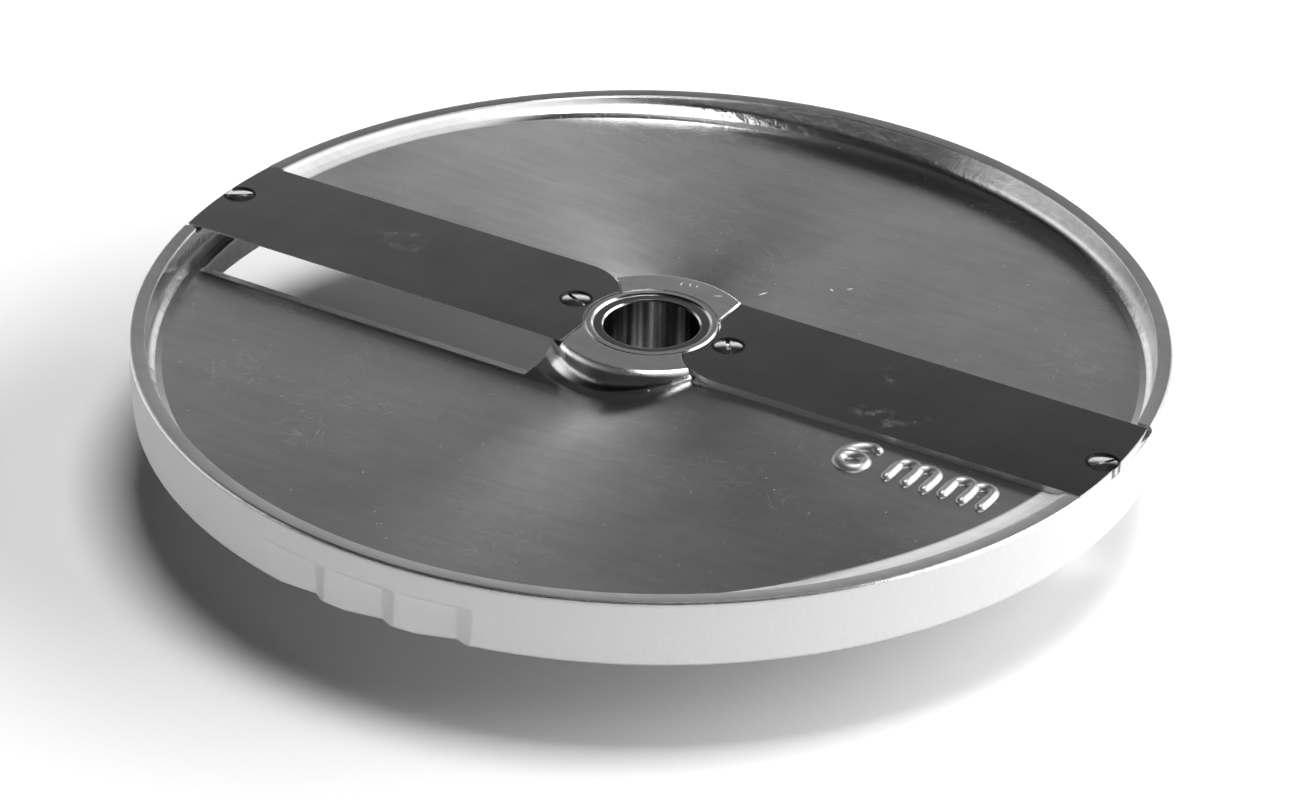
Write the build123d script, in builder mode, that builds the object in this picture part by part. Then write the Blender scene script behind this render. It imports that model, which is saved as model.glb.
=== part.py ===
from build123d import *
from math import atan2, cos, degrees, radians, sin
import os

os.makedirs("parts", exist_ok=True)

# Overall sizes, millimetres
disc_dia = 205.0
overall_height = 33.0
slice_depth = 6.0

# Rim of the casting
rim_height = 13.8
rim_land = 3.1
rim_draft = 1.7
rim_edge = 0.5
rim_toe_in = 0.4
band_height = 5.6

# Sloping plate of the casting, one ramp for each half turn
plate_thick = 4.5
ramp_start = 80.0
ramp_end = 158.0
section_count = 13
sheet_across = 30
sheet_along = 15
sheet_first_y = 2.0
sheet_tol = 0.08
rim_run_low = 2.4
rim_rise_low = 2.2
rim_run_high = 4.9
hub_run_low = 3.0
hub_rise_low = 4.0
hub_run_high = 1.1
corner_flats = 3
under_bevel = 2.0
rim_overrun = 0.3
overlap = 0.25
sink = 1.5
edge_knee = 0.3

# Hub of the casting
boss_wall = 6.7
boss_edge = 0.8
hub_taper = 2.5
hub_lift = 1.0
hub_foot_edge = 1.0

# Throat in front of each cutting edge
throat_end_in = 4.5
throat_corner = 3.5
throat_rim_gap = 3.9
lip_gap = 3.45
lip_bevel_run = 3.0
lip_bevel_drop = 0.9
seat_edge_y = 3.2

# Blades
blade_thick = 1.2
blade_lead_y = 15.85
blade_trail_y = 13.5
blade_end_in = 0.7
blade_inner_in = 2.1
blade_heel_r = 12.0
blade_heel_out = 9.0
blade_heel_turn = 235.0
blade_bevel_run = 4.0
blade_edge_land = 0.2
seat_pad_rise = 0.25
pocket_gap_trail = 0.5
pocket_gap_lead = 0.9
pocket_gap_hub = 0.6

# Bush
bore_r = 9.5
bush_r = 13.3
bush_blade_gap = 0.4
bush_fit = 0.02
ring_r = 11.6
ring_sink = 0.4
ring_edge = 0.35
bore_chamfer = 0.3
drive_slot_width = 6.2
drive_slot_depth = 7.0

# Slotted countersunk screws
screw_head_r = 3.0
screw_shank_r = 1.5
screw_length = 7.0
screw_sunk = 0.15
screw_fit = 0.05
screw_slot_width = 0.8
screw_slot_depth = 0.7
screw_tip_gap = 0.5
inner_screw_in = 2.5
outer_screw_in = 3.5
lug_wall = 1.85
lug_floor = 0.8
screw_turns = (-56.0, 60.0, -23.0, 37.0)

# Sawtooth finger grips in the outer wall
grip_first_angle = -103.2
grip_pitch = 8.65
grip_floor_span = 6.5
grip_depth = 2.2
grip_count = 3

# Heights and radii that follow from the sizes above
top_z = overall_height
rim_r = disc_dia / 2
rim_foot_z = top_z - rim_height
seat_z = top_z - blade_thick
land_r = rim_r - rim_land
rim_inner_foot_r = land_r - rim_draft
plate_low_z = top_z - slice_depth
plate_high_z = seat_z - seat_pad_rise
half_turns = (0.0, 180.0)
hub_hole_r = bush_r + bush_fit
boss_r = bush_r + boss_wall
hub_foot_r = boss_r - hub_taper
throat_end_x = boss_r - throat_end_in
lip_y = blade_lead_y + lip_gap
throat_end_r = land_r - throat_rim_gap
lip_length = (throat_end_r * throat_end_r - lip_y * lip_y) ** 0.5 - throat_end_x
blade_end_r = rim_r - blade_end_in
blade_inner_x = bush_r - blade_inner_in
blade_heel_x = bush_r + blade_heel_out
pocket_ring_r = (bore_r + bush_r) / 2
inner_screw_x = boss_r - inner_screw_in
outer_screw_x = rim_r - outer_screw_in
screw_places = (inner_screw_x, outer_screw_x)
lug_r = screw_shank_r + screw_fit + lug_wall
lug_height = screw_length + screw_tip_gap + screw_sunk - blade_thick + lug_floor


def wall_r(z):
    return land_r - rim_draft * (top_z - z) / rim_height


# How far up its ramp the plate is at a turn from the start of its half
def ramp_share(turn):
    t = min(max((turn - ramp_start) / (ramp_end - ramp_start), 0.0), 1.0)
    return t * t * (3.0 - 2.0 * t)


def between(low, high, share):
    return low + (high - low) * share


def radial_plane(turn):
    out = (cos(radians(turn)), sin(radians(turn)), 0)
    side = (sin(radians(turn)), -cos(radians(turn)), 0)
    return Plane(origin=(0, 0, 0), x_dir=out, z_dir=side)


# Upright plane square to a cutting edge, at a distance from the axis
def cross_plane(half, x):
    out = (cos(radians(half)), sin(radians(half)), 0)
    along = (-sin(radians(half)), cos(radians(half)), 0)
    return Plane(origin=(x * out[0], x * out[1], 0), x_dir=along, z_dir=out)


def polar(r, turn):
    return (r * cos(radians(turn)), r * sin(radians(turn)))


# Height of the plate's top at such a turn
def plate_z(turn):
    return between(plate_low_z, plate_high_z, ramp_share(turn))


# Top of one sloping plate, a smooth sheet through a grid of heights over its half of the disc
def plate_sheet():
    rows = []
    for across in range(sheet_across + 1):
        x = between(-rim_r, rim_r, across / sheet_across)
        row = []
        for along in range(sheet_along + 1):
            y = between(sheet_first_y, rim_r, along / sheet_along)
            row.append(Vector(x, y, plate_z(degrees(atan2(y, x)))))
        rows.append(row)
    return Face.make_surface_from_array_of_points(rows, tol=sheet_tol)


# Points of a cast corner that climbs from its toe on a level plate to its end, begun inside the plate
def corner_points(toe, end):
    run = abs(end[0] - toe[0])
    rise = abs(end[1] - toe[1])
    bend = 2 * atan2(rise, run)
    radius = run / sin(bend)
    points = []
    for step in range(corner_flats + 1):
        part_bend = bend * step / corner_flats
        out = (end[0] - toe[0]) / run * radius * sin(part_bend)
        up = radius * (1 - cos(part_bend))
        points.append((toe[0] + out, toe[1] + up))
    points[0] = (2 * points[0][0] - points[1][0], 2 * points[0][1] - points[1][1])
    return points


# Upright section of the cast corners between plate and rim
def rim_corner(turn):
    share = ramp_share(turn)
    z = plate_z(turn)
    low = z - plate_thick
    foot = low - under_bevel
    rim_top = between(z + rim_rise_low, top_z + rim_overrun, share)
    rim_toe = wall_r(z) - between(rim_run_low, rim_run_high, share)
    with BuildLine() as edge:
        Polyline(
            corner_points((rim_toe, z), (wall_r(rim_top) + overlap, rim_top)),
            (land_r + sink, rim_top),
            (land_r + sink, foot),
            (wall_r(foot) + overlap, foot),
            (wall_r(low) - under_bevel - sink, low + sink),
            close=True,
        )
    make_face(edge.edges())


# Upright section of the cast corners between plate and hub
def hub_corner(turn):
    share = ramp_share(turn)
    z = plate_z(turn)
    low = z - plate_thick
    hub_top = between(z + hub_rise_low, top_z - boss_edge - overlap, share)
    hub_toe = boss_r + between(hub_run_low, hub_run_high, share)
    with BuildLine() as edge:
        Polyline(
            corner_points((hub_toe, z), (boss_r - overlap, hub_top)),
            (bush_r + sink, hub_top),
            (bush_r + sink, low - under_bevel),
            (boss_r - overlap, low - under_bevel),
            (boss_r + under_bevel + sink, low + sink),
            close=True,
        )
    make_face(edge.edges())


# Outline of one blade, the right-hand one, with room to spare for its pocket
def blade_outline(spare_lead, spare_trail, spare_hub, ring, end_r):
    lead = blade_lead_y + spare_lead
    trail = blade_trail_y + spare_trail
    inner = blade_inner_x - spare_hub
    heel_r = blade_heel_r + spare_trail
    heel_y = blade_heel_r - blade_trail_y
    ring_lead = (inner, (ring * ring - inner * inner) ** 0.5)
    span = (blade_heel_x * blade_heel_x + heel_y * heel_y) ** 0.5
    along = (ring * ring - heel_r * heel_r + span * span) / (2 * span)
    aside = (ring * ring - along * along) ** 0.5
    tip_x = (along * blade_heel_x + aside * heel_y) / span
    tip_y = (along * heel_y - aside * blade_heel_x) / span
    middle = polar(heel_r, blade_heel_turn)
    heel_bend = (blade_heel_x + middle[0], heel_y + middle[1])
    lead_end = ((end_r * end_r - lead * lead) ** 0.5, lead)
    trail_end = ((end_r * end_r - trail * trail) ** 0.5, -trail)
    with BuildLine() as edge:
        Polyline(lead_end, (inner, lead), ring_lead)
        ThreePointArc(ring_lead, (ring, 0), (tip_x, tip_y))
        ThreePointArc((tip_x, tip_y), heel_bend, (blade_heel_x, -trail))
        Line((blade_heel_x, -trail), trail_end)
        ThreePointArc(trail_end, (end_r, 0), lead_end)
    make_face(edge.edges())


# Half of a countersunk screw at radius x, or of the open hole that takes it
def screw_half(x, spare, tip, rise):
    head = top_z - screw_sunk
    neck = head - (screw_head_r - screw_shank_r)
    end = head - screw_length - tip
    shank_x = x + screw_shank_r + spare
    head_x = x + screw_head_r + spare
    with BuildLine() as edge:
        Polyline((x, head + rise), (x, end), (shank_x, end), (shank_x, neck), (head_x, head))
        if rise > 0:
            Line((head_x, head), (head_x, head + rise))
        Line((head_x, head + rise), (x, head + rise))
    make_face(edge.edges())


# Upright axis of the screw that stands at radius x on a half turn
def screw_axis(half, x):
    return Axis((x * cos(radians(half)), x * sin(radians(half)), 0), (0, 0, 1))


# Two sloping plates of the casting, each over its half of the disc
with BuildPart() as plates:
    for half in half_turns:
        extrude(to_extrude=plate_sheet().rotate(Axis.Z, half), amount=plate_thick, dir=(0, 0, -1))
    with BuildSketch(Plane.XY):
        Circle(land_r + sink / 2)
        Circle(boss_r - overlap, mode=Mode.SUBTRACT)
    extrude(amount=top_z, mode=Mode.INTERSECT)

# Cast disc: plates, rim, hub, blade seats, throats and finger grips
with BuildPart() as disc_body:
    for half in half_turns:
        for section in (rim_corner, hub_corner):
            for step in range(section_count):
                turn = 180.0 * step / (section_count - 1)
                with BuildSketch(radial_plane(half + turn)):
                    section(turn)
            loft()
    add(plates.part)
    for half in half_turns:
        with BuildSketch(Plane.XY.offset(top_z).rotated((0, 0, half))) as throat:
            with Locations((throat_end_x, -seat_edge_y)):
                Rectangle(rim_r, seat_edge_y + lip_y, align=(Align.MIN, Align.MIN))
            Circle(throat_end_r, mode=Mode.INTERSECT)
            fillet(throat.vertices().sort_by(Axis.X)[:2].sort_by(Axis.Y)[-1], throat_corner)
        extrude(amount=-rim_height, mode=Mode.SUBTRACT)
        with BuildSketch(cross_plane(half, throat_end_x)):
            with BuildLine():
                Polyline(
                    (lip_y - lip_bevel_run, plate_low_z - 2 * lip_bevel_drop),
                    (lip_y + 2 * lip_bevel_run, plate_low_z + lip_bevel_drop),
                    (lip_y - lip_bevel_run, plate_low_z + lip_bevel_drop),
                    close=True,
                )
            make_face()
        extrude(amount=lip_length, mode=Mode.SUBTRACT)
    with BuildSketch(Plane.XZ):
        with BuildLine():
            Polyline(
                (land_r, top_z),
                (rim_r - rim_edge, top_z),
                (rim_r, top_z - rim_edge),
                (rim_r, top_z - band_height),
                (rim_r - rim_toe_in, rim_foot_z + rim_edge),
                (rim_r - rim_toe_in - rim_edge, rim_foot_z),
                (rim_inner_foot_r, rim_foot_z),
                close=True,
            )
        make_face()
    revolve(axis=Axis.Z)
    with BuildSketch(Plane.XZ):
        with BuildLine():
            Polyline(
                (hub_hole_r, top_z),
                (boss_r - boss_edge, top_z),
                (boss_r - boss_edge * edge_knee, top_z - boss_edge * edge_knee),
                (boss_r, top_z - boss_edge),
                (boss_r, plate_low_z - plate_thick),
                (hub_foot_r, hub_lift + hub_foot_edge),
                (hub_foot_r - hub_foot_edge, hub_lift),
                (hub_hole_r, hub_lift),
                close=True,
            )
        make_face()
    revolve(axis=Axis.Z)
    for half in half_turns:
        seat_plane = Plane.XY.offset(seat_z).rotated((0, 0, half))
        with BuildSketch(seat_plane):
            Circle(land_r + sink / 2)
            with Locations((inner_screw_x, -seat_edge_y)):
                Rectangle(
                    rim_r,
                    blade_trail_y - seat_edge_y,
                    align=(Align.MIN, Align.MAX),
                    mode=Mode.INTERSECT,
                )
        extrude(amount=-plate_thick / 2)
        with BuildSketch(seat_plane):
            Circle(land_r + sink / 2)
            with Locations((outer_screw_x, 0)):
                Circle(lug_r, mode=Mode.INTERSECT)
        extrude(amount=-lug_height)
    with BuildSketch(Plane.XY.offset(top_z)):
        Circle(disc_dia)
    extrude(amount=rim_height, mode=Mode.SUBTRACT)
    for half in half_turns:
        with BuildSketch(Plane.XY.offset(seat_z).rotated((0, 0, half))):
            blade_outline(
                pocket_gap_lead, pocket_gap_trail, pocket_gap_hub, pocket_ring_r, rim_r + sink
            )
        extrude(amount=rim_height, mode=Mode.SUBTRACT)
        for x in screw_places:
            with BuildSketch(radial_plane(half)):
                screw_half(x, screw_fit, screw_tip_gap, blade_thick)
            revolve(axis=screw_axis(half, x), mode=Mode.SUBTRACT)
        with BuildSketch(Plane.XY.offset(top_z - band_height)):
            for tooth in range(grip_count):
                start = half + grip_first_angle + tooth * grip_pitch
                with BuildLine():
                    Polyline(
                        polar(rim_r, start),
                        polar(rim_r - grip_depth, start + grip_floor_span),
                        polar(rim_r, start + grip_pitch),
                        polar(rim_r + grip_depth, start + grip_pitch),
                        polar(rim_r + grip_depth, start),
                        close=True,
                    )
                make_face()
        extrude(amount=-rim_height, mode=Mode.SUBTRACT)
    with BuildSketch(Plane.XZ):
        Rectangle(drive_slot_width, drive_slot_depth, align=(Align.CENTER, Align.MIN))
    extrude(amount=boss_r, both=True, mode=Mode.SUBTRACT)

# Steel bush with a sunk face round the bore inside a bevelled ring
with BuildPart() as shaft_bush:
    with BuildSketch(Plane.XZ):
        with BuildLine():
            Polyline(
                (bore_r, 0),
                (bush_r, 0),
                (bush_r, top_z - ring_edge),
                (bush_r - ring_edge, top_z),
                (ring_r + ring_edge, top_z),
                (ring_r, top_z - ring_edge),
                (ring_r, top_z - ring_sink),
                (bore_r + bore_chamfer, top_z - ring_sink),
                (bore_r, top_z - ring_sink - bore_chamfer),
                close=True,
            )
        make_face()
    revolve(axis=Axis.Z)
    with BuildSketch(Plane.XZ):
        Rectangle(drive_slot_width, drive_slot_depth, align=(Align.CENTER, Align.MIN))
    extrude(amount=boss_r, both=True, mode=Mode.SUBTRACT)


# One blade, placed by a half turn
def cut_blade(half):
    with BuildPart() as blade:
        with BuildSketch(Plane.XY.offset(seat_z).rotated((0, 0, half))):
            blade_outline(0.0, 0.0, 0.0, bush_r + bush_blade_gap, blade_end_r)
        extrude(amount=blade_thick)
        with BuildSketch(cross_plane(half, 0)):
            with BuildLine():
                Polyline(
                    (blade_lead_y - blade_bevel_run, seat_z),
                    (blade_lead_y, top_z - blade_edge_land),
                    (blade_lead_y + sink, top_z - blade_edge_land),
                    (blade_lead_y + sink, seat_z - sink),
                    (blade_lead_y - blade_bevel_run, seat_z - sink),
                    close=True,
                )
            make_face()
        extrude(amount=rim_r, mode=Mode.SUBTRACT)
        for x in screw_places:
            with BuildSketch(radial_plane(half)):
                screw_half(x, screw_fit, screw_tip_gap, blade_thick)
            revolve(axis=screw_axis(half, x), mode=Mode.SUBTRACT)
    return blade


blade_right = cut_blade(half_turns[0])
blade_left = cut_blade(half_turns[1])

# Four slotted countersunk screws, one pair to each blade
with BuildPart() as blade_screws:
    for half in half_turns:
        for x in screw_places:
            with BuildSketch(radial_plane(half)):
                screw_half(x, 0.0, 0.0, 0.0)
            revolve(axis=screw_axis(half, x))
    screw_spots = [polar(x, half) for half in half_turns for x in screw_places]
    for spot, turn in zip(screw_spots, screw_turns):
        with BuildSketch(Plane.XY.offset(top_z - screw_sunk)):
            with Locations(spot):
                Rectangle(3 * screw_head_r, screw_slot_width, rotation=turn)
        extrude(amount=-screw_slot_depth, mode=Mode.SUBTRACT)

disc_body.part.label = "disc_body"
export_step(disc_body.part, "parts/disc_body.step")
shaft_bush.part.label = "shaft_bush"
export_step(shaft_bush.part, "parts/shaft_bush.step")
blade_right.part.label = "blade_right"
export_step(blade_right.part, "parts/blade_right.step")
blade_left.part.label = "blade_left"
export_step(blade_left.part, "parts/blade_left.step")
blade_screws.part.label = "blade_screws"
export_step(blade_screws.part, "parts/blade_screws.step")
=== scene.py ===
import bpy, math
import numpy as np
from mathutils import Matrix, Vector


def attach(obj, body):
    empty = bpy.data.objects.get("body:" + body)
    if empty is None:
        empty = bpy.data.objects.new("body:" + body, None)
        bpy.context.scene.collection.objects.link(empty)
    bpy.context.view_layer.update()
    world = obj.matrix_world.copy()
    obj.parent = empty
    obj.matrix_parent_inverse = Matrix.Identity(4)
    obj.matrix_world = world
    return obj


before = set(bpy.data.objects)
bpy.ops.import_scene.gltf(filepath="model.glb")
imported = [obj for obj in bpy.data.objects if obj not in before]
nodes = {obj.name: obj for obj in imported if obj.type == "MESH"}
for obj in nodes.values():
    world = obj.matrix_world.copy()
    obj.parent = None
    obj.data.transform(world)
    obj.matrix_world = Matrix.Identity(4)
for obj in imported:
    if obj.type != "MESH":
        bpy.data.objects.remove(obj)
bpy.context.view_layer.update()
scene = bpy.context.scene
print("frame loaded", sorted(nodes))


# camera
cameraSpec = {"lens": 130.58, "sensor": 36, "clip": (0.05, 20), "azimuth": 30.38, "elevation": 30.252,
              "roll": 1.203, "distance": 0.90999, "target": (0.016347, -0.025725, 0.033)}


def makeCamera(spec):
    az, el, ro = (math.radians(spec[k]) for k in ("azimuth", "elevation", "roll"))
    back = Vector((math.sin(az) * math.cos(el), -math.cos(az) * math.cos(el), math.sin(el)))
    right = Vector((math.cos(az), math.sin(az), 0))
    up = back.cross(right)
    side = right * math.cos(ro) + up * math.sin(ro)
    lift = up * math.cos(ro) - right * math.sin(ro)
    turn = Matrix((side, lift, back)).transposed().to_4x4()
    data = bpy.data.cameras.new("photoCamera")
    data.lens = spec["lens"]
    data.sensor_width = spec["sensor"]
    data.clip_start, data.clip_end = spec["clip"]
    eye = bpy.data.objects.new("photoCamera", data)
    scene.collection.objects.link(eye)
    eye.matrix_world = Matrix.Translation(Vector(spec["target"]) + back * spec["distance"]) @ turn
    scene.camera = eye


makeCamera(cameraSpec)
print("camera set")


# node helpers
noiseSpan = (0.3, 0.7)  # where most values of a noise lie


def put(tree, socket, value):
    if isinstance(value, bpy.types.NodeSocket):
        tree.links.new(value, socket)
    else:
        socket.default_value = value


def calc(tree, op, a, b=0.0, c=0.0, clamp=False):
    n = tree.nodes.new("ShaderNodeMath")
    n.operation, n.use_clamp = op, clamp
    for socket, value in zip(n.inputs, (a, b, c)):
        put(tree, socket, value)
    return n.outputs[0]


def product(tree, first, *rest):
    for value in rest:
        first = calc(tree, "MULTIPLY", first, value)
    return first


def strongest(tree, first, *rest):
    for value in rest:
        first = calc(tree, "MAXIMUM", first, value)
    return first


def hypot(tree, a, b):
    return calc(tree, "SQRT", calc(tree, "MULTIPLY_ADD", a, a, calc(tree, "MULTIPLY", b, b)))


def vectorCalc(tree, op, a, b):
    n = tree.nodes.new("ShaderNodeVectorMath")
    n.operation = op
    put(tree, n.inputs[0], a)
    put(tree, n.inputs["Scale"] if op == "SCALE" else n.inputs[1], b)
    return n.outputs["Value"] if op == "DOT_PRODUCT" else n.outputs[0]


def split(tree, vector):
    n = tree.nodes.new("ShaderNodeSeparateXYZ")
    put(tree, n.inputs[0], vector)
    return n.outputs


def turned(tree, vector, angle):  # about the upright axis
    n = tree.nodes.new("ShaderNodeVectorRotate")
    n.rotation_type = "Z_AXIS"
    put(tree, n.inputs["Vector"], vector)
    put(tree, n.inputs["Angle"], angle)
    return n.outputs[0]


def rampTo(tree, value, low, high, first=0.0, last=1.0):  # smooth step from first to last
    n = tree.nodes.new("ShaderNodeMapRange")
    n.interpolation_type = "SMOOTHSTEP"
    for name, v in (("Value", value), ("From Min", low), ("From Max", high), ("To Min", first), ("To Max", last)):
        put(tree, n.inputs[name], v)
    return n.outputs[0]


def blend(tree, a, b, mask):
    n = tree.nodes.new("ShaderNodeMix")
    for i, v in ((0, mask), (2, a), (3, b)):
        put(tree, n.inputs[i], v)
    return n.outputs[0]


def noise(tree, vector, scale, detail, rough):
    n = tree.nodes.new("ShaderNodeTexNoise")
    put(tree, n.inputs["Vector"], vector)
    n.inputs["Scale"].default_value = scale
    n.inputs["Detail"].default_value = detail
    n.inputs["Roughness"].default_value = rough
    return n.outputs[0]


def startGroup(name, inputs, outputs):
    tree = bpy.data.node_groups.new(name, "ShaderNodeTree")
    for label, kind in inputs:
        tree.interface.new_socket(label, in_out="INPUT", socket_type="NodeSocket" + kind)
    for label in outputs:
        tree.interface.new_socket(label, in_out="OUTPUT", socket_type="NodeSocketFloat")
    return tree, tree.nodes.new("NodeGroupInput").outputs, tree.nodes.new("NodeGroupOutput").inputs


def useGroup(tree, group, **values):
    n = tree.nodes.new("ShaderNodeGroup")
    n.node_tree = group
    for name, v in values.items():
        put(tree, n.inputs[name], v)
    return n.outputs


# shared effects, in millimetres
strokeSpec = {"strength": (0.8, 0.2), "core": (0.45, 0.1)}


def strokeMarks(spec):  # one thin stroke in some cells of a stretched cell pattern
    tree, i, o = startGroup("strokeMarks", [("Place", "Vector"), ("Angle", "Float"), ("Length", "Float"),
                                            ("Width", "Float"), ("Amount", "Float")], ["Mask"])
    size = tree.nodes.new("ShaderNodeCombineXYZ")
    for socket, value in zip(size.inputs, (i["Length"], i["Width"], 1.0)):
        put(tree, socket, value)
    cells = tree.nodes.new("ShaderNodeTexVoronoi")
    cells.voronoi_dimensions = "2D"
    cells.inputs["Scale"].default_value = 1.0
    place = turned(tree, i["Place"], i["Angle"])
    put(tree, cells.inputs["Vector"], vectorCalc(tree, "DIVIDE", place, size.outputs[0]))
    parts = tree.nodes.new("ShaderNodeSeparateColor")
    put(tree, parts.inputs[0], cells.outputs["Color"])
    chosen = calc(tree, "LESS_THAN", parts.outputs[0], i["Amount"])
    strength = calc(tree, "MULTIPLY_ADD", parts.outputs[1], *spec["strength"])
    core = rampTo(tree, cells.outputs["Distance"], *spec["core"])
    put(tree, o["Mask"], product(tree, chosen, strength, core))
    return tree


marksSpec = {"strokes": ((0.4, 6.0, 0.17, 0.07), (1.3, 5.0, 0.17, 0.06), (2.2, 7.0, 0.16, 0.06),
                         (2.9, 4.5, 0.17, 0.06), (0.9, 16.0, 0.15, 0.012), (2.75, 22.0, 0.15, 0.014)),
             "speck": (0.7, 1.1, 0.8, 0.008),  # angle, length, width, share of the cells
             "patch": (0.035, 2.0, 0.55), "patchRamp": (0.45, 0.72, 0.10, 0.7), "speckRamp": (0.3, 0.95)}


def handlingMarks(stroke, spec):  # short scratches every way, a few long ones and small specks, thicker in patches
    tree, i, o = startGroup("handlingMarks", [("Place", "Vector"), ("Patch", "Float")], ["Scratches", "Specks"])

    def marked(angle, length, width, amount):
        return useGroup(tree, stroke, Place=i["Place"], Angle=angle, Length=length, Width=width, Amount=amount)[0]

    lines = strongest(tree, *[marked(*row) for row in spec["strokes"]])
    cloud = rampTo(tree, noise(tree, i["Place"], *spec["patch"]), *spec["patchRamp"])
    put(tree, o["Scratches"], product(tree, lines, strongest(tree, cloud, i["Patch"])))
    put(tree, o["Specks"], rampTo(tree, marked(*spec["speck"]), *spec["speckRamp"]))
    return tree


spotSpec = {"fade": (1.0, 0.25)}


def roundSpot(spec):  # one soft spot about a centre, drawn out along an angle
    tree, i, o = startGroup("roundSpot", [("Place", "Vector"), ("Centre", "Vector"), ("Angle", "Float"),
                                          ("Length", "Float"), ("Width", "Float")], ["Mask"])
    x, y, z = split(tree, turned(tree, vectorCalc(tree, "SUBTRACT", i["Place"], i["Centre"]), i["Angle"]))
    along = calc(tree, "DIVIDE", x, i["Length"])
    across = calc(tree, "DIVIDE", y, i["Width"])
    put(tree, o["Mask"], rampTo(tree, hypot(tree, along, across), *spec["fade"]))
    return tree


grainSpec = {"cloud": (0.045, 5.0, 0.6), "streak": (1.0, 4.0, 0.65), "stipple": (2.2, 3.0, 0.7),
             "lump": (0.45, 3.0, 0.6), "streakTurn": (0, 0, 0.35), "streakScale": (0.05, 0.5, 0.5)}


def castGrain(spec):  # slow clouding, faint wiping streaks, a fine stipple and cast lumps
    tree, i, o = startGroup("castGrain", [("Place", "Vector")], ["Cloud", "Streak", "Stipple", "Lump"])
    stretch = tree.nodes.new("ShaderNodeMapping")
    put(tree, stretch.inputs["Vector"], i["Place"])
    stretch.inputs["Rotation"].default_value = spec["streakTurn"]
    stretch.inputs["Scale"].default_value = spec["streakScale"]
    put(tree, o["Cloud"], noise(tree, i["Place"], *spec["cloud"]))
    put(tree, o["Streak"], noise(tree, stretch.outputs[0], *spec["streak"]))
    put(tree, o["Stipple"], noise(tree, i["Place"], *spec["stipple"]))
    put(tree, o["Lump"], noise(tree, i["Place"], *spec["lump"]))
    return tree


linesSpec = {"detail": 3.0, "rows": (("Radius", "Rings", 6.0), ("Turn", "Stripes", 3.2))}


def turnedLines(spec):  # rings of a lathe tool about the axis, and stripes round a bore
    tree, i, o = startGroup("turnedLines", [("Radius", "Float"), ("Turn", "Float")], ["Rings", "Stripes"])
    for source, name, scale in spec["rows"]:
        n = tree.nodes.new("ShaderNodeTexNoise")
        n.noise_dimensions = "1D"
        n.inputs["Scale"].default_value = scale
        n.inputs["Detail"].default_value = spec["detail"]
        put(tree, n.inputs["W"], i[source])
        put(tree, o[name], n.outputs[0])
    return tree


strokeGroup = strokeMarks(strokeSpec)
marksGroup = handlingMarks(strokeGroup, marksSpec)
spotGroup = roundSpot(spotSpec)
grainGroup = castGrain(grainSpec)
linesGroup = turnedLines(linesSpec)
print("node groups made")


# materials
def freshMaterial(name):
    mat = bpy.data.materials.new(name)
    mat.use_nodes = True
    return mat, mat.node_tree, mat.node_tree.nodes["Principled BSDF"]


def dress(obj, mat):
    obj.data.materials.clear()
    obj.data.materials.append(mat)


def placeSockets(tree):  # object coordinates in millimetres, radius and upward lean
    tex = tree.nodes.new("ShaderNodeTexCoord")
    place = vectorCalc(tree, "SCALE", tex.outputs["Object"], 1000.0)
    x, y, z = split(tree, place)
    return {"place": place, "x": x, "y": y, "z": z, "r": hypot(tree, x, y),
            "lean": split(tree, tex.outputs["Normal"])[2]}


def spots(tree, place, rows):  # strongest of several spots: x, y, angle, length, width
    return strongest(tree, *[useGroup(tree, spotGroup, Place=place, Centre=(x, y, 0.0), Angle=angle,
                                      Length=length, Width=width)[0] for x, y, angle, length, width in rows])


reliefSpec = {"samples": 2, "distance": 0.001}


def relief(tree, shader, height, edge):  # height in millimetres over edges softened by metres
    soft = tree.nodes.new("ShaderNodeBevel")
    soft.samples = reliefSpec["samples"]
    put(tree, soft.inputs["Radius"], edge)
    bump = tree.nodes.new("ShaderNodeBump")
    bump.inputs["Strength"].default_value = 1.0
    bump.inputs["Distance"].default_value = reliefSpec["distance"]
    put(tree, bump.inputs["Height"], height)
    put(tree, bump.inputs["Normal"], soft.outputs[0])
    put(tree, shader.inputs["Normal"], bump.outputs[0])


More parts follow.
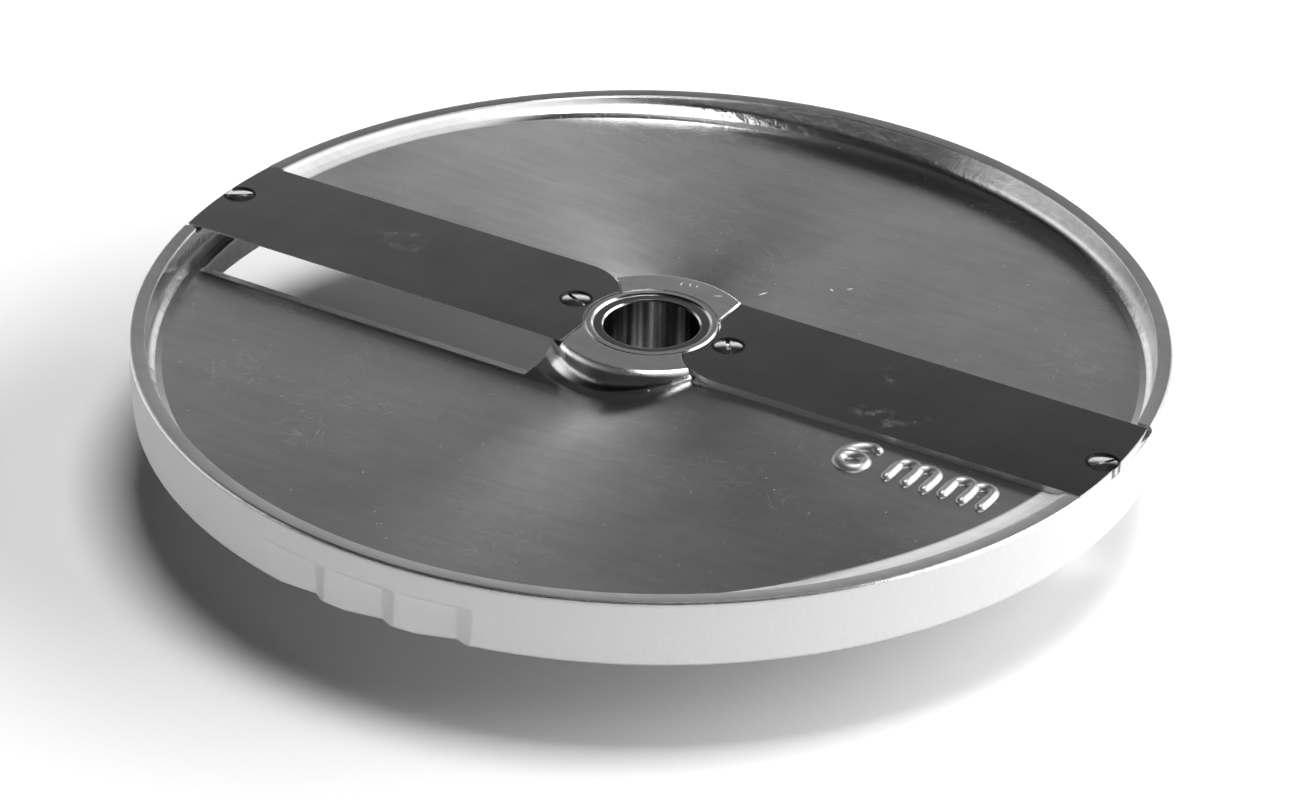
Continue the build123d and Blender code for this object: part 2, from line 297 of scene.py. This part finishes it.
# a pair of numbers is where a mask starts and where it is full, as a radius, a height or an upward lean
aluminium = {"plate": 0.58, "inner": 0.86, "side": 0.5, "land": 0.56, "wall": 0.84, "under": 0.64,
             "plateRough": 0.24, "innerRough": 0.16, "highRough": 0.5, "sideRough": 0.4, "landRough": 0.30,
             "wallRough": 0.45, "underRough": 0.45, "dullMetal": 0.25,
             "steepLean": (0.98, 0.90), "wallRadius": (99.5, 99.8), "wallLean": (0.55, 0.35),
             "landRadius": (98.8, 99.3), "landHeight": (32.55, 32.9), "innerRadius": (94.2, 95.2),
             "hubRadius": (24.0, 23.4), "highRadius": (93.6, 94.6), "highHeight": (30.6, 31.4),
             "highLean": (0.45, 0.65), "highEnd": (99.5, 99.1), "underLean": (-0.1, -0.4), "sideLean": (0.7, 0.5),
             "lipShadeTone": 0.55, "lipStart": 20.5, "lipRagged": 2.4, "lipFade": (4.6, 3.6), "lipEdge": (18.3, 18.7),
             "lipInner": (23.4, 24.2), "lipOuter": (95.6, 94.8),
             "cloudLevels": (0.93, 1.06), "streakLevels": (0.95, 1.05), "speckShare": 0.6, "scratchShare": 0.55,
             "nickShare": 1.5, "scuffTone": 0.30, "scuffRough": 0.30,
             "stipple": (0.003, 0.02), "lumps": 0.10, "landMiddle": 101.0, "landCrown": 0.012, "landTilt": 0.05,
             "softEdge": (0.0002, 0.0011),
             "swirls": ((73.5, 39.8, 0.6, 16, 11), (-63.1, -50.8, 0.3, 17, 12), (-40, -62, 0.9, 12, 9)),
             "nicks": ((-3.0, 16.5, 1.4, 0.9, 0.25), (-1.3, 17.1, 1.2, 0.9, 0.2), (0.2, 17.3, 1.3, 0.7, 0.2),
                       (5.7, 16.2, 2.6, 1.2, 0.2), (7.5, 31.3, 2.0, 1.6, 0.3), (18.4, 40.3, 0.5, 0.8, 0.3),
                       (21.3, 42.7, 2.2, 1.0, 0.25))}


def castZones(tree, at, spec):  # masks of the casting's differently finished surfaces
    def rises(source, key):
        return rampTo(tree, at[source], *spec[key])

    steep = rises("lean", "steepLean")
    zone = {"wall": product(tree, rises("r", "wallRadius"), rises("lean", "wallLean")),
            "land": product(tree, rises("r", "landRadius"), rises("z", "landHeight")),
            "inner": product(tree, rises("r", "innerRadius"), steep),
            "high": product(tree, rises("r", "highRadius"), rises("z", "highHeight"), rises("lean", "highLean"),
                            rises("r", "highEnd")),
            "under": rises("lean", "underLean")}
    zone["corner"] = strongest(tree, zone["inner"], product(tree, rises("r", "hubRadius"), steep))
    zone["side"] = product(tree, rises("lean", "sideLean"), calc(tree, "SUBTRACT", 1.0, zone["corner"]))
    zone["worn"] = calc(tree, "SUBTRACT", 1.0, strongest(tree, zone["wall"], zone["under"]))
    return zone


def lipShadeBand(tree, at, grain, spec):  # painted shade: a dark ragged band along the lip of either throat
    reach = calc(tree, "ABSOLUTE", at["y"])
    ragged = calc(tree, "MULTIPLY_ADD", grain["Streak"], spec["lipRagged"],
                  calc(tree, "SUBTRACT", reach, spec["lipStart"]))
    ahead = calc(tree, "GREATER_THAN", product(tree, at["x"], at["y"]), 0.0)
    return product(tree, rampTo(tree, ragged, *spec["lipFade"]), ahead, rampTo(tree, reach, *spec["lipEdge"]),
                   rampTo(tree, at["r"], *spec["lipOuter"]), rampTo(tree, at["r"], *spec["lipInner"]))


def castAluminium(spec):
    mat, tree, shader = freshMaterial("castAluminium")
    at = placeSockets(tree)
    zone = castZones(tree, at, spec)
    grain = useGroup(tree, grainGroup, Place=at["place"])
    marks = useGroup(tree, marksGroup, Place=at["place"], Patch=spots(tree, at["place"], spec["swirls"]))
    tone = blend(tree, spec["plate"], spec["inner"], strongest(tree, zone["corner"], zone["high"]))
    sheen = blend(tree, spec["plateRough"], spec["innerRough"], zone["corner"])
    sheen = blend(tree, sheen, spec["highRough"], zone["high"])
    # the plate tone darkens along each lip: painted shade
    tone = product(tree, tone, blend(tree, 1.0, spec["lipShadeTone"], lipShadeBand(tree, at, grain, spec)))
    for key in ("side", "land", "wall", "under"):
        tone = blend(tree, tone, spec[key], zone[key])
        sheen = blend(tree, sheen, spec[key + "Rough"], zone[key])
    drift = product(tree, rampTo(tree, grain["Cloud"], *noiseSpan, *spec["cloudLevels"]),
                    rampTo(tree, grain["Streak"], *noiseSpan, *spec["streakLevels"]))
    tone = product(tree, tone, blend(tree, 1.0, drift, zone["worn"]))
    scuffs = calc(tree, "MULTIPLY_ADD", marks["Specks"], spec["speckShare"],
                  product(tree, marks["Scratches"], spec["scratchShare"]))
    nicks = product(tree, spots(tree, at["place"], spec["nicks"]), spec["nickShare"])
    scuffs = product(tree, strongest(tree, scuffs, nicks), zone["worn"])
    put(tree, shader.inputs["Base Color"], calc(tree, "MULTIPLY_ADD", scuffs, spec["scuffTone"], tone, clamp=True))
    put(tree, shader.inputs["Roughness"], calc(tree, "MULTIPLY_ADD", scuffs, spec["scuffRough"], sheen))
    put(tree, shader.inputs["Metallic"],
        blend(tree, 1.0, spec["dullMetal"], strongest(tree, zone["wall"], zone["high"])))
    rough = blend(tree, *spec["stipple"], strongest(tree, zone["land"], zone["inner"]))
    stipple = product(tree, grain["Stipple"], rough)
    lumps = product(tree, grain["Lump"], zone["inner"], spec["lumps"])
    offset = calc(tree, "SUBTRACT", at["r"], spec["landMiddle"])
    crown = product(tree, offset, calc(tree, "MULTIPLY_ADD", offset, -spec["landCrown"], spec["landTilt"]))
    height = calc(tree, "MULTIPLY_ADD", crown, zone["land"], calc(tree, "ADD", stipple, lumps))
    relief(tree, shader, height, blend(tree, *spec["softEdge"], zone["corner"]))
    return mat


steel = {"face": 0.205, "edge": 0.55, "rough": 0.18, "edgeRough": 0.4, "screws": (17.5, 99.0), "screwGap": 3.1,
         "ringFade": (0.35, 0.15), "countersinkShadeTone": 0.15, "sideLean": (0.6, 0.3), "cloudLevels": (0.9, 1.1),
         "film": (0.3, 4.0, 0.65), "filmSpan": (0.48, 0.7), "filmTone": 0.14, "filmRough": 0.2, "scuffTone": 0.10,
         "stipple": 0.002, "softEdge": 0.00012,
         "stains": ((55.5, -8.0, 0.3, 9, 5), (62.0, -5.0, 0.2, 4, 3), (49.6, 7.1, 1.2, 5, 1.6), (-60, 2, 0.3, 8, 5))}


def screwGaps(tree, at):  # distance from the nearest screw axis of either blade
    reach = calc(tree, "ABSOLUTE", at["x"])
    inner, outer = (hypot(tree, calc(tree, "SUBTRACT", reach, place), at["y"]) for place in steel["screws"])
    return calc(tree, "MINIMUM", inner, outer)


def bladeSteel(spec):
    mat, tree, shader = freshMaterial("bladeSteel")
    at = placeSockets(tree)
    marks = useGroup(tree, marksGroup, Place=at["place"], Patch=0.0)
    grain = useGroup(tree, grainGroup, Place=at["place"])
    film = product(tree, spots(tree, at["place"], spec["stains"]),
                   rampTo(tree, noise(tree, at["place"], *spec["film"]), *spec["filmSpan"]))
    side = rampTo(tree, at["lean"], *spec["sideLean"])
    # a dark ring round each screw head, darkest 3.1 mm from its axis: painted shade in the countersink
    gap = calc(tree, "ABSOLUTE", calc(tree, "SUBTRACT", screwGaps(tree, at), spec["screwGap"]))
    countersinkShade = rampTo(tree, gap, *spec["ringFade"])
    face = product(tree, spec["face"], rampTo(tree, grain["Cloud"], *noiseSpan, *spec["cloudLevels"]))
    face = calc(tree, "MULTIPLY_ADD", film, spec["filmTone"], face)
    scuffs = strongest(tree, marks["Scratches"], marks["Specks"])
    tone = blend(tree, calc(tree, "MULTIPLY_ADD", scuffs, spec["scuffTone"], face), spec["edge"], side)
    tone = calc(tree, "MULTIPLY", tone, blend(tree, 1.0, spec["countersinkShadeTone"], countersinkShade), clamp=True)
    sheen = calc(tree, "MULTIPLY_ADD", film, spec["filmRough"], spec["rough"])
    put(tree, shader.inputs["Base Color"], tone)
    put(tree, shader.inputs["Roughness"], blend(tree, sheen, spec["edgeRough"], side))
    shader.inputs["Metallic"].default_value = 1.0
    relief(tree, shader, product(tree, grain["Stipple"], spec["stipple"]), spec["softEdge"])
    return mat


bush = {"tone": 0.66, "sunkShadeTone": 0.20, "brightest": 0.9, "rough": 0.15, "topLean": (0.4, 0.8),
        "faceInner": (9.8, 10.0), "faceOuter": (11.5, 11.3), "boreRadius": (9.7, 9.6), "boreLean": (0.3, 0.1),
        "ringLevels": (0.85, 1.1), "stripeRamp": (0.35, 0.68, 0.15, 1.4), "ringDepth": 0.01, "softEdge": 0.00012}


def bushSteel(spec):
    mat, tree, shader = freshMaterial("bushSteel")
    at = placeSockets(tree)
    lines = useGroup(tree, linesGroup, Radius=at["r"], Turn=calc(tree, "ARCTAN2", at["y"], at["x"]))
    top = rampTo(tree, at["lean"], *spec["topLean"])
    # the sunk face round the bore gets a much darker tone: painted shade in the recess
    sunk = product(tree, top, rampTo(tree, at["r"], *spec["faceOuter"]), rampTo(tree, at["r"], *spec["faceInner"]))
    inside = product(tree, rampTo(tree, at["r"], *spec["boreRadius"]), rampTo(tree, at["lean"], *spec["boreLean"]))
    rings = rampTo(tree, lines["Rings"], *noiseSpan, *spec["ringLevels"])
    stripes = rampTo(tree, lines["Stripes"], *spec["stripeRamp"])
    tone = product(tree, blend(tree, spec["tone"], spec["sunkShadeTone"], sunk), blend(tree, rings, stripes, inside))
    put(tree, shader.inputs["Base Color"], calc(tree, "MINIMUM", tone, spec["brightest"]))
    shader.inputs["Roughness"].default_value = spec["rough"]
    shader.inputs["Metallic"].default_value = 1.0
    relief(tree, shader, product(tree, lines["Rings"], top, spec["ringDepth"]), spec["softEdge"])
    return mat


screw = {"tone": 0.72, "rough": 0.13, "dome": 0.05, "levels": (0.75, 1.1), "rimShadeRamp": (2.55, 2.95, 1.0, 0.12),
         "stipple": 0.01, "softEdge": 0.0001}


def screwSteel(spec):
    mat, tree, shader = freshMaterial("screwSteel")
    at = placeSockets(tree)
    grain = useGroup(tree, grainGroup, Place=at["place"])
    gap = screwGaps(tree, at)
    # the head's tone falls towards its rim: painted shade where it sits in the countersink
    tone = product(tree, spec["tone"], rampTo(tree, grain["Stipple"], *noiseSpan, *spec["levels"]),
                   rampTo(tree, gap, *spec["rimShadeRamp"]))
    put(tree, shader.inputs["Base Color"], tone)
    shader.inputs["Roughness"].default_value = spec["rough"]
    shader.inputs["Metallic"].default_value = 1.0
    dome = product(tree, gap, gap, -spec["dome"])  # slightly raised head
    relief(tree, shader, calc(tree, "MULTIPLY_ADD", grain["Stipple"], spec["stipple"], dome), spec["softEdge"])
    return mat


markCast = {"levels": (0.42, 0.50), "rough": 0.42, "stipple": 0.002, "softEdge": 0.0003}


def markMetal(spec):
    mat, tree, shader = freshMaterial("markMetal")
    grain = useGroup(tree, grainGroup, Place=placeSockets(tree)["place"])
    put(tree, shader.inputs["Base Color"], rampTo(tree, grain["Stipple"], *noiseSpan, *spec["levels"]))
    shader.inputs["Roughness"].default_value = spec["rough"]
    shader.inputs["Metallic"].default_value = 1.0
    relief(tree, shader, product(tree, grain["Stipple"], spec["stipple"]), spec["softEdge"])
    return mat


dress(nodes["disc_body"], castAluminium(aluminium))
dress(nodes["shaft_bush"], bushSteel(bush))
blade = bladeSteel(steel)
dress(nodes["blade_right"], blade)
dress(nodes["blade_left"], blade)
dress(nodes["blade_screws"], screwSteel(screw))
print("materials set")


# raised slice-thickness mark on the plate, in millimetres
mark = {"base": 31.45, "rise": 1.0, "half": 1.35, "sunk": 0.25, "bulge": 1.9, "blunt": 0.02, "ribs": 13,
        "foot": -25.6, "crown": -18.9, "archDrop": 1.1, "stemDrop": 0.1, "archSteps": 13, "stemSteps": 34,
        "firstM": (66.0, 70.1, 74.1), "secondM": (77.8, 81.9, 86.0),
        "bowl": (57.8, -23.1, 2.65, 2.4), "bowlSteps": 48, "tailSteps": 30,
        "tail": ((55.2, -23.4), (54.9, -21.2), (55.6, -18.9), (57.3, -17.2), (59.4, -16.7), (61.2, -17.9))}


def smoothPath(points, count):  # even steps along a spline through the points
    p = np.array(points, float)
    t = np.r_[0, np.cumsum(np.hypot(*np.diff(p, axis=0).T))]
    s = np.linspace(0, t[-1], count)
    m = np.gradient(p, t, axis=0)
    k = np.clip(np.searchsorted(t, s, side="right") - 1, 0, len(t) - 2)
    h = (t[k + 1] - t[k])[:, None]
    u = ((s - t[k])[:, None]) / h
    return ((2 * u**3 - 3 * u**2 + 1) * p[k] + (u**3 - 2 * u**2 + u) * h * m[k]
            + (3 * u**2 - 2 * u**3) * p[k + 1] + (u**3 - u**2) * h * m[k + 1])


def ridge(path, closed, spec):
    # height over an offset t of -1 to 1 is rise * (1 - |t| ** bulge), which shrinks round an open end
    p = np.array(path, float)
    n, ribs = len(p), spec["ribs"]
    ahead = np.roll(p, -1, 0) - np.roll(p, 1, 0) if closed else np.gradient(p, axis=0)
    ahead /= np.linalg.norm(ahead, axis=1)[:, None]
    side = np.stack([ahead[:, 1], -ahead[:, 0]], 1)
    run = np.r_[0, np.cumsum(np.hypot(*np.diff(p, axis=0).T))]
    near = np.clip(np.minimum(run, run[-1] - run) / spec["half"], spec["blunt"], 1)
    grow = np.ones(n) if closed else np.sqrt(1 - (1 - near) ** 2)
    t = np.linspace(1, -1, ribs)
    tall = spec["rise"] * (1 - np.abs(t) ** spec["bulge"])
    tall[[0, -1]] = -spec["sunk"]
    xy = p[:, None, :] + side[:, None, :] * (grow[:, None] * spec["half"] * t)[:, :, None]
    z = spec["base"] + np.where(tall > 0, tall * grow[:, None], tall)
    grid = np.concatenate([xy, z[:, :, None]], 2)
    i, j = np.meshgrid(np.arange(n if closed else n - 1), np.arange(ribs), indexing="ij")
    i2, j2 = (i + 1) % n, (j + 1) % ribs
    quads = np.stack([i * ribs + j, i * ribs + j2, i2 * ribs + j2, i2 * ribs + j], -1).reshape(-1, 4)
    ends = [] if closed else [list(range(ribs))[::-1], list(range((n - 1) * ribs, n * ribs))]
    return grid.reshape(-1, 3) * 0.001, quads.tolist() + ends


def letterM(columns, spec):
    x0, x1, x2 = columns
    paths = [[(x0, spec["foot"]), (x0, spec["crown"])]]
    for left, right in ((x0, x1), (x1, x2)):  # arch over two stems, then down the right one
        mid, rad = (left + right) / 2, (right - left) / 2
        a = np.linspace(math.pi, 0, spec["archSteps"])
        arch = np.stack([mid + rad * np.cos(a), spec["crown"] - spec["archDrop"] + rad * np.sin(a)], 1)
        paths.append(np.r_[arch, [(right, spec["foot"] - spec["stemDrop"] * (right - x0) / rad)]])
    return [smoothPath(q, spec["stemSteps"]) for q in paths]


def thicknessMark(spec):
    cx, cy, ax, ay = spec["bowl"]
    a = np.linspace(0, 2 * math.pi, spec["bowlSteps"], endpoint=False)
    runs = [(np.stack([cx + ax * np.cos(a), cy + ay * np.sin(a)], 1), True),
            (smoothPath(spec["tail"], spec["tailSteps"]), False)]
    runs += [(q, False) for key in ("firstM", "secondM") for q in letterM(spec[key], spec)]
    verts, faces = [], []
    for path, closed in runs:
        v, f = ridge(path, closed, spec)
        start = sum(len(w) for w in verts)
        faces += [[k + start for k in face] for face in f]
        verts.append(v)
    mesh = bpy.data.meshes.new("thicknessMark")
    mesh.from_pydata(np.concatenate(verts).tolist(), [], faces)
    mesh.polygons.foreach_set("use_smooth", np.ones(len(mesh.polygons), bool))
    piece = bpy.data.objects.new("thicknessMark", mesh)
    scene.collection.objects.link(piece)
    dress(piece, markMetal(markCast))
    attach(piece, "root")


thicknessMark(mark)
print("thickness mark made")


# floor and light
floorSpec = {"half": 6.0, "tone": 0.92, "seenTone": 1.25, "roughness": 0.5, "specular": 0.0}


def seenRay(tree):  # one for rays of the camera and of mirror and glass surfaces, before any dull bounce
    path = tree.nodes.new("ShaderNodeLightPath").outputs
    seen = strongest(tree, path["Is Camera Ray"], path["Is Glossy Ray"], path["Is Transmission Ray"])
    return product(tree, seen, calc(tree, "LESS_THAN", path["Diffuse Depth"], 0.5))


def makeFloor(spec):
    h = spec["half"]
    mesh = bpy.data.meshes.new("floor")
    mesh.from_pydata([(-h, -h, 0), (h, -h, 0), (h, h, 0), (-h, h, 0)], [], [(0, 1, 2, 3)])
    floor = bpy.data.objects.new("floor", mesh)
    scene.collection.objects.link(floor)
    mat, tree, shader = freshMaterial("paleFloor")
    put(tree, shader.inputs["Base Color"], blend(tree, spec["tone"], spec["seenTone"], seenRay(tree)))
    shader.inputs["Roughness"].default_value = spec["roughness"]
    shader.inputs["Specular IOR Level"].default_value = spec["specular"]
    dress(floor, mat)


lampSpec = {"aim": (0, 0, 0.02),
            "rightPanel": {"place": (1.81, 1.266, 1.174), "size": (3.5, 1.48), "power": 78},
            "topPanel": {"place": (0.3, 0.25, 2.65), "size": (1.2, 1.2), "power": 38}}


def makeLamp(name, spec, aim):
    data = bpy.data.lights.new(name, "AREA")
    data.shape = "RECTANGLE"
    data.size, data.size_y = spec["size"]
    data.energy = spec["power"]
    lamp = bpy.data.objects.new(name, data)
    scene.collection.objects.link(lamp)
    lamp.location = spec["place"]
    lamp.rotation_euler = (Vector(aim) - Vector(spec["place"])).to_track_quat("-Z", "Y").to_euler()


worldSpec = {"fill": 0.015, "sweep": (0.30, 0.555, 1.0, 0.04),
             "front": (-0.1, -0.995, 0.0), "frontRamp": (0.15, 0.75, 1.0, 0.02), "frontRise": (0.02, 0.3),
             "left": (-0.98, -0.2, 0.0), "leftRamp": (0.7, 0.92, 0.0, 1.1), "leftRise": (0.5, 0.3),
             "back": (-0.498, 0.867, 0.0), "backRamp": (0.927, 0.996, 0.4, 1.0), "backRise": (0.25, 0.42)}


def makeWorld(spec):  # dim even fill; mirrors see a pale sweep that darkens upwards and behind the camera
    world = bpy.data.worlds.new("studio")
    scene.world = world
    world.use_nodes = True
    tree = world.node_tree
    way = tree.nodes.new("ShaderNodeTexCoord").outputs["Generated"]
    rise = split(tree, way)[2]
    front, left, back = (vectorCalc(tree, "DOT_PRODUCT", way, spec[key]) for key in ("front", "left", "back"))
    level = calc(tree, "SQRT", calc(tree, "SUBTRACT", 1.0, product(tree, rise, rise)))
    sheet = rampTo(tree, calc(tree, "DIVIDE", back, level), *spec["backRamp"])
    sweep = product(tree, rampTo(tree, rise, *spec["sweep"]),
                    blend(tree, 1.0, sheet, rampTo(tree, rise, *spec["backRise"])))
    shade = blend(tree, 1.0, rampTo(tree, front, *spec["frontRamp"]), rampTo(tree, rise, *spec["frontRise"]))
    glow = product(tree, rampTo(tree, left, *spec["leftRamp"]), rampTo(tree, rise, *spec["leftRise"]))
    mirror = strongest(tree, product(tree, sweep, shade), glow)
    put(tree, tree.nodes["Background"].inputs["Color"], blend(tree, spec["fill"], mirror, seenRay(tree)))
    tree.nodes["Background"].inputs["Strength"].default_value = 1.0


makeFloor(floorSpec)
for name in ("rightPanel", "topPanel"):
    makeLamp(name, lampSpec[name], lampSpec["aim"])
makeWorld(worldSpec)
scene.view_settings.view_transform = "Standard"
print("floor and light set")
